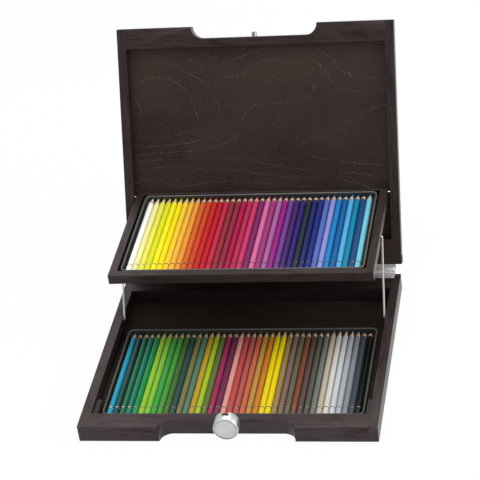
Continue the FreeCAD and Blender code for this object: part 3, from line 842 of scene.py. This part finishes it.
# %% Tree helpers
def new_tree(name, inputs):
    """An empty geometry tree with named inputs and its two end nodes."""
    tree = bpy.data.node_groups.new(name, "GeometryNodeTree")
    tree.interface.new_socket("Geometry", in_out="INPUT", socket_type="NodeSocketGeometry")
    for label, kind in inputs:
        tree.interface.new_socket(label, in_out="INPUT", socket_type=kind)
    tree.interface.new_socket("Geometry", in_out="OUTPUT", socket_type="NodeSocketGeometry")
    return tree, add_node(tree, "NodeGroupInput")


def set_finishes(tree, geometry, finishes):
    """Gives the faces of each zone their material."""
    zone = add_node(tree, "GeometryNodeInputNamedAttribute", {"Name": "zone"}, data_type="INT")
    for number, material in enumerate(finishes):
        chosen = add_node(tree, "FunctionNodeCompare", {
            NUMBER_A: zone.outputs[0], NUMBER_B: number}, data_type="INT", operation="EQUAL")
        geometry = add_node(tree, "GeometryNodeSetMaterial", {
            "Geometry": geometry, "Selection": chosen.outputs[0], "Material": material}).outputs[0]
    return geometry


print("tree helpers ready")

# %% The tree for a row
def row_tree(name, finishes):
    """Copies of the piece in a row along X, each with its own number."""
    tree, start = new_tree(name, [("Count", "NodeSocketInt"), ("Pitch", "NodeSocketFloat"),
                                  ("First", "NodeSocketVector"), ("Shift", "NodeSocketVector"),
                                  ("Seed", "NodeSocketInt")])
    step = add_node(tree, "ShaderNodeCombineXYZ", {"X": start.outputs["Pitch"]}).outputs[0]
    line = add_node(tree, "GeometryNodeMeshLine", {
        "Count": start.outputs["Count"], "Start Location": start.outputs["First"], "Offset": step},
        mode="OFFSET")
    back = add_node(tree, "ShaderNodeVectorMath", {0: start.outputs["Shift"], "Scale": -1.0},
                    operation="SCALE").outputs[0]
    chance = add_node(tree, "FunctionNodeRandomValue", {
        0: back, 1: start.outputs["Shift"], "Seed": start.outputs["Seed"]},
        data_type="FLOAT_VECTOR")
    moved = add_node(tree, "GeometryNodeSetPosition", {
        "Geometry": line.outputs[0], "Offset": chance.outputs[0]}).outputs[0]
    copies = add_node(tree, "GeometryNodeInstanceOnPoints", {
        "Points": moved, "Instance": start.outputs["Geometry"]}).outputs[0]
    number = add_node(tree, "GeometryNodeInputIndex").outputs[0]
    counted = add_node(tree, "GeometryNodeStoreNamedAttribute", {
        "Geometry": copies, "Name": "number", "Value": number},
        data_type="INT", domain="INSTANCE").outputs[0]
    real = add_node(tree, "GeometryNodeRealizeInstances", {"Geometry": counted}).outputs[0]
    add_node(tree, "NodeGroupOutput", {0: set_finishes(tree, real, finishes)})
    return tree


def run_tree(piece, tree, values):
    """Runs a geometry tree on a piece, each value set by its socket's identifier."""
    modifier = piece.modifiers.new(tree.name, "NODES")
    modifier.node_group = tree
    sockets = {item.name: item.identifier for item in tree.interface.items_tree
               if item.item_type == "SOCKET" and item.in_out == "INPUT"}
    for name, value in values.items():
        modifier[sockets[name]] = value
    return baked(piece)


PENCIL_ROW = row_tree("pencil row", (LACQUER, FOIL, CEDAR, CORE))
print("the tree has", len(PENCIL_ROW.nodes), "nodes")

# %% The colours, from left to right
TRAY_COLOURS = """
fbfaf6 f3efa6 f1ea5e e0e322 f7ee28 f8e516 f6d138 f0ba42 ea9d3c d6662d
cd4a2d c62a28 c01f30 c02d4a 92323a 922e45 aa1d4a b43054 c83a6e
7b2a60 d26ea2 9d3c76 aa629f 962682 74408e 442b6a 342672 27323f 262d62
252f7e 566cb8 8893d0 2080c4 18609c 54a9dc 1282a6 1b477a 74c5da
""".split()
BOX_COLOURS = """
1698b4 0d3e3c 1c6648 1c7a60 1c8c4c 92c438 85c13c 3fa046 4a9b3c 496f38
2f5049 787850 5b7d68 bc9c34 a7c12c 63753d 9c325a 70304c dc9890 bc4e4c
b05c55 c4684a bb8c45 c67e2a e6cf1c ecd412 988050 7f6659 686250 7c4c36
5c4844 56564d 70736e b8b09e d2d0c8 c8cbcf adb1b7 888c93 424a52 101011
""".split()
print("colours", len(TRAY_COLOURS), len(BOX_COLOURS))

# %% Lay the rows
LAID_SHIFT = (0.0, 0.2 * MM, 0.0)
BOX_SEED, TRAY_SEED = 3, 5


def lay_row(node, colours, seed):
    """A row of pencils in the place of its construction node."""
    low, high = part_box(node)
    count = round((high.x - low.x) / PENCIL_CORNERS)
    pitch = (high.x - low.x - PENCIL_CORNERS) / (count - 1)
    first = (low.x + PENCIL_CORNERS / 2, low.y, (low.z + high.z) / 2)
    row = new_object(node + "_lacquered", pencil_mesh())
    run_tree(row, PENCIL_ROW, {
        "Count": count, "Pitch": pitch, "First": first, "Shift": LAID_SHIFT, "Seed": seed})
    numbers = np.empty(len(row.data.vertices), np.int32)
    row.data.attributes["number"].data.foreach_get("value", numbers)
    table = np.array([linear(code) for code in colours], np.float32)
    pigment = row.data.attributes.new("pigment", "FLOAT_COLOR", "POINT")
    pigment.data.foreach_set("color", table[numbers].ravel())
    hand_in(row, node)
    print(row.name, count, "pencils", round(pitch / MM, 3), "mm apart,",
          len(row.data.polygons), "faces")


lay_row("box_pencils", BOX_COLOURS, BOX_SEED)
lay_row("tray_pencils", TRAY_COLOURS, TRAY_SEED)

# %% [markdown]
# ## Hinge, rods and pins
# The hinge leaves are extruded, so their long edges are only just broken, and a copy with a very
# narrow bevel is enough. The rods, the pins, the stud and the inner parts of the knob are simple
# round shapes whose construction nodes are right as they are. They could be rebuilt as curves,
# but nothing would look better, so they only get their metal.

# %% Metal pieces
PROFILE_BROKEN_MM = 0.12
for node in ("hinge_box_leaf", "hinge_lid_leaf"):
    leaf = softened(merged_copy(node, node + "_profile"), PROFILE_BROKEN_MM)
    dress(leaf, node, "satin_aluminium", SATIN_ALUMINIUM)
for node in ("left_rod", "right_rod", "tray_pivot_pins", "knob_spindle", "knob_washer"):
    refinish(node, BRIGHT_STEEL)
refinish("catch_stud", CHROME)
refinish("knob_bush", BRASS)
print("metal pieces done")

# %% [markdown]
# ## Turned pieces
# The knob and the screws are turned: a profile is drawn as pairs of radius and length and spun
# round an axis. The screw modifier can do that too, but a loop of rings shows what happens and
# gives clean closed ends. What a cutter takes out afterwards, the slot of the knob and the
# cross of a screw, is a straight prism, and a boolean takes it away here as the cutter does.

# %% Turning and cutting
TURNED_SHARP = math.radians(30)


def turned(name, profile, steps):
    """A closed shape spun round Y from pairs of radius and length, a disc at each end."""
    angles = [2 * math.pi * step / steps for step in range(steps)]
    work = bmesh.new()
    levels = [[work.verts.new((radius * math.cos(a), y, radius * math.sin(a))) for a in angles]
              for radius, y in profile]
    skin(work, levels)
    work.faces.new(levels[0])
    work.faces.new(levels[-1])
    return closed_mesh(name, work)


def prism(name, outline, y0, y1):
    """A straight block over an outline of X and Z."""
    work = bmesh.new()
    near, far = [[work.verts.new((x, y, z)) for x, z in outline] for y in (y0, y1)]
    work.faces.new(near)
    work.faces.new(far)
    skin(work, [near, far])
    return closed_mesh(name, work)


def carved(body, tool):
    """An object of the first mesh, with the second one cut out of it."""
    piece, cutter = [new_object(mesh.name, mesh) for mesh in (body, tool)]
    cut = piece.modifiers.new("cut", "BOOLEAN")
    cut.object = cutter
    cut.operation = "DIFFERENCE"
    baked(piece)
    bpy.data.objects.remove(cutter)
    piece.data.shade_smooth()
    piece.data.set_sharp_from_angle(angle=TURNED_SHARP)
    return piece


print("turning and cutting ready")

# %% The knob
KNOB_RADIUS = (knob_high.x - knob_low.x) / 2
KNOB_DEPTH = knob_high.y - knob_low.y
KNOB_BEVEL = 1.5 * MM
KNOB_ARRIS = 0.15 * MM
FACE_RADIUS = 13.2 * MM
FACE_SINK = 0.3 * MM
GROOVE_WIDTH = 0.9 * MM
GROOVE_DEPTH = 1.3 * MM
FACE_THICKNESS = 2.6 * MM
SKIRT_INNER = 13.6 * MM
HUB_RADIUS = 4.5 * MM
SPINDLE_RADIUS = 2.0 * MM
SLOT_HALF = 4.2 * MM
SLOT_LENGTH = 7.2 * MM
KNOB_STEPS = 128
OVERRUN = 1.2


def knob_profile():
    """Pairs of radius and depth: face, groove, bevel, skirt, hollow, hub and bore."""
    bevel_foot = KNOB_RADIUS - KNOB_BEVEL
    groove_end = FACE_RADIUS + GROOVE_WIDTH
    return [(HUB_RADIUS, FACE_SINK), (FACE_RADIUS, FACE_SINK), (FACE_RADIUS, GROOVE_DEPTH),
            (groove_end, GROOVE_DEPTH), (groove_end, KNOB_ARRIS), (bevel_foot - KNOB_ARRIS, 0),
            (bevel_foot, 0), (KNOB_RADIUS - KNOB_ARRIS, KNOB_BEVEL - KNOB_ARRIS),
            (KNOB_RADIUS, KNOB_BEVEL + KNOB_ARRIS), (KNOB_RADIUS, KNOB_DEPTH - KNOB_ARRIS),
            (KNOB_RADIUS - KNOB_ARRIS, KNOB_DEPTH), (SKIRT_INNER, KNOB_DEPTH),
            (SKIRT_INNER, FACE_THICKNESS), (HUB_RADIUS, FACE_THICKNESS), (HUB_RADIUS, KNOB_DEPTH),
            (SPINDLE_RADIUS, KNOB_DEPTH), (SPINDLE_RADIUS, FACE_THICKNESS)]


beyond = KNOB_RADIUS * OVERRUN
slot_outline = [(-SLOT_HALF, HUB_RADIUS), (SLOT_HALF, HUB_RADIUS),
                (SLOT_HALF, beyond), (-SLOT_HALF, beyond)]
knob = carved(turned("knob_cup_turned", knob_profile(), KNOB_STEPS),
              prism("slot", slot_outline, KNOB_DEPTH - SLOT_LENGTH, KNOB_DEPTH * OVERRUN))
knob.data.transform(Matrix.Translation((KNOB_CENTRE.x, knob_low.y, KNOB_CENTRE.z)))
dress(knob, "knob_cup", "turned_aluminium", TURNED_ALUMINIUM)
print("the knob has", len(knob.data.polygons), "faces")

# %% [markdown]
# ## Hinge screws
# Twelve like screws hold the hinge, six through each leaf. Their heads are low domes with a
# cross recess. They hardly show from the front, but they do from behind, so each is a real
# turned shape, and the row tree that lays the pencils sets them out too.

# %% One screw
HEAD_RADIUS = 2.2 * MM
HEAD_HEIGHT = 1.2 * MM
CROSS_LENGTH = 2.6 * MM
CROSS_WIDTH = 0.6 * MM
CROSS_DEPTH = 0.7 * MM
SHANK_RADIUS = 1.2 * MM
SHANK_LENGTH = 3.0 * MM
HEAD_STEPS = 24
DOME_DEGREES = (0, 20, 40, 60, 80)
BRIM_SHARE = 0.3


def screw_mesh():
    """A screw with its head towards Y, its seat at Y = 0 and a cross cut into its dome."""
    angles = [math.radians(degrees) for degrees in DOME_DEGREES]
    dome = [(HEAD_RADIUS * math.cos(a),
             HEAD_HEIGHT * (BRIM_SHARE + (1 - BRIM_SHARE) * math.sin(a))) for a in angles]
    profile = [(SHANK_RADIUS, -SHANK_LENGTH), (SHANK_RADIUS, 0), (HEAD_RADIUS, 0)] + dome
    long, wide = CROSS_LENGTH / 2, CROSS_WIDTH / 2
    arm = [(long, wide), (wide, wide), (wide, long)]
    cross = arm + [(-x, z) for x, z in reversed(arm)]
    cross += [(-x, -z) for x, z in cross]
    screw = carved(turned("screw", profile, HEAD_STEPS),
                   prism("cross", cross, HEAD_HEIGHT - CROSS_DEPTH, HEAD_HEIGHT * 2))
    mesh = screw.data
    bpy.data.objects.remove(screw)
    mesh.attributes.new("zone", "INT", "FACE")  # all nought, the only finish of the row
    return mesh


print("a screw has", len(screw_mesh().polygons), "faces")

# %% Rows of screws
SCREW_ROW = row_tree("screw row", (BRIGHT_STEEL,))
SCREWS_PER_LEAF = 6
SCREW_SEED = 1


def screw_row(node, turned_open):
    """Six screws in the place of a construction node."""
    places = points_of(frame["nodes"][node].data)
    if turned_open:
        places = lid_closed(places)
    low, high = places.min(0), places.max(0)
    pitch = float(high[0] - low[0] - 2 * HEAD_RADIUS) / (SCREWS_PER_LEAF - 1)
    first = (float(low[0]) + HEAD_RADIUS, float(high[1]) - HEAD_HEIGHT, float(low[2] + high[2]) / 2)
    row = new_object(node + "_domed", screw_mesh())
    run_tree(row, SCREW_ROW, {
        "Count": SCREWS_PER_LEAF, "Pitch": pitch, "First": first,
        "Shift": (0.0, 0.0, 0.0), "Seed": SCREW_SEED})
    if turned_open:
        row.data.transform(OPEN_LID)
    hand_in(row, node)


screw_row("hinge_box_screws", False)
screw_row("hinge_lid_screws", True)
print("screws laid")

# %% [markdown]
# ## Floor and light
# The case stands on white, under soft light from above and from the right. A brighter lamp
# would make the floor white too, but it would bleach the pencils. So the lamps stay at a level
# at which a colour looks as it is written, and the floor and the surround are white only to the
# camera and in mirrored and refracted rays, while the floor keeps the shadow of the case. The
# studio in front of the case is dim at eye level, as a real one is, and the varnish and the
# metal show it. The lamps are wide areas, so that no highlight is hard.

# %% Floor
FLOOR_GLOW = 0.95


def bright_rays(tree):
    """One for camera, glossy and transmission rays, else nought."""
    path = add_node(tree, "ShaderNodeLightPath")
    first = add_node(tree, "ShaderNodeMath", {
        0: path.outputs["Is Camera Ray"], 1: path.outputs["Is Glossy Ray"]}, operation="MAXIMUM")
    return add_node(tree, "ShaderNodeMath", {
        0: first, 1: path.outputs["Is Transmission Ray"]}, operation="MAXIMUM")


def white_floor():
    material, tree = empty_material("white_floor")
    paint = add_node(tree, "ShaderNodeBsdfDiffuse", {"Color": linear("f4f4f4")})
    glow = add_node(tree, "ShaderNodeEmission", {"Color": (1, 1, 1, 1), "Strength": 1.0})
    share = add_node(tree, "ShaderNodeMath", {
        0: bright_rays(tree), 1: FLOOR_GLOW}, operation="MULTIPLY")
    both = add_node(tree, "ShaderNodeMixShader", {0: share, 1: paint, 2: glow})
    add_node(tree, "ShaderNodeOutputMaterial", {"Surface": both})
    return material


FLOOR_HALF = 6.0
FLOOR_DROP = 0.2 * MM
floor_mesh = bpy.data.meshes.new("floor")
corners = [(FLOOR_HALF * x, FLOOR_HALF * y, -FLOOR_DROP)
           for x, y in ((-1, -1), (1, -1), (1, 1), (-1, 1))]
floor_mesh.from_pydata(corners, [], [(0, 1, 2, 3)])
floor = new_object("floor", floor_mesh)
floor_mesh.materials.append(white_floor())
print("floor laid")

# %% Surround
WORLD_LIGHT = 0.6
STUDIO_LIGHT = 0.3
STUDIO_SIDE = (0.1, -0.97, 0.2)
STUDIO_BEGINS, STUDIO_FULL = 0.7, 0.94

world = bpy.data.worlds.new("surround")
world.use_nodes = True
tree = world.node_tree
tree.nodes.clear()
path = add_node(tree, "ShaderNodeLightPath")
towards = add_node(tree, "ShaderNodeTexCoord").outputs["Generated"]
facing = add_node(tree, "ShaderNodeVectorMath", {0: towards, 1: STUDIO_SIDE},
                  operation="DOT_PRODUCT").outputs["Value"]
seen = add_node(tree, "ShaderNodeMapRange", {
    "Value": facing, "From Min": STUDIO_BEGINS, "From Max": STUDIO_FULL,
    "To Min": 1.0, "To Max": STUDIO_LIGHT})
mirrored = add_node(tree, "ShaderNodeMath", {
    0: path.outputs["Is Glossy Ray"], 1: path.outputs["Is Transmission Ray"]}, operation="MAXIMUM")
level = add_node(tree, "ShaderNodeMix", {SHARE: mirrored, NUMBER_A: WORLD_LIGHT, NUMBER_B: seen})
level = add_node(tree, "ShaderNodeMix", {
    SHARE: path.outputs["Is Camera Ray"], NUMBER_A: level, NUMBER_B: 1.0})
sky = add_node(tree, "ShaderNodeBackground", {"Color": (1, 1, 1, 1), "Strength": level})
add_node(tree, "ShaderNodeOutputWorld", {"Surface": sky})
bpy.context.scene.world = world
print("surround set")

# %% Lamps
def area_lamp(name, place, aim, width, power):
    """A square soft lamp aimed at a point; places in metres, power in watts."""
    lamp = bpy.data.lights.new(name, "AREA")
    lamp.shape = "SQUARE"
    lamp.size = width
    lamp.energy = power
    holder = new_object(name, lamp)
    aimed = (Vector(aim) - Vector(place)).to_track_quat("-Z", "Y").to_matrix().to_4x4()
    holder.matrix_world = Matrix.Translation(place) @ aimed


area_lamp("lamp_right", place=(2.0, -0.2, 1.0), aim=(0, 0, 0.1), width=1.2, power=21)
area_lamp("lamp_above", place=(0.1, 0.32, 1.5), aim=(0, 0.1, 0.1), width=1.0, power=11)
print("lamps set")
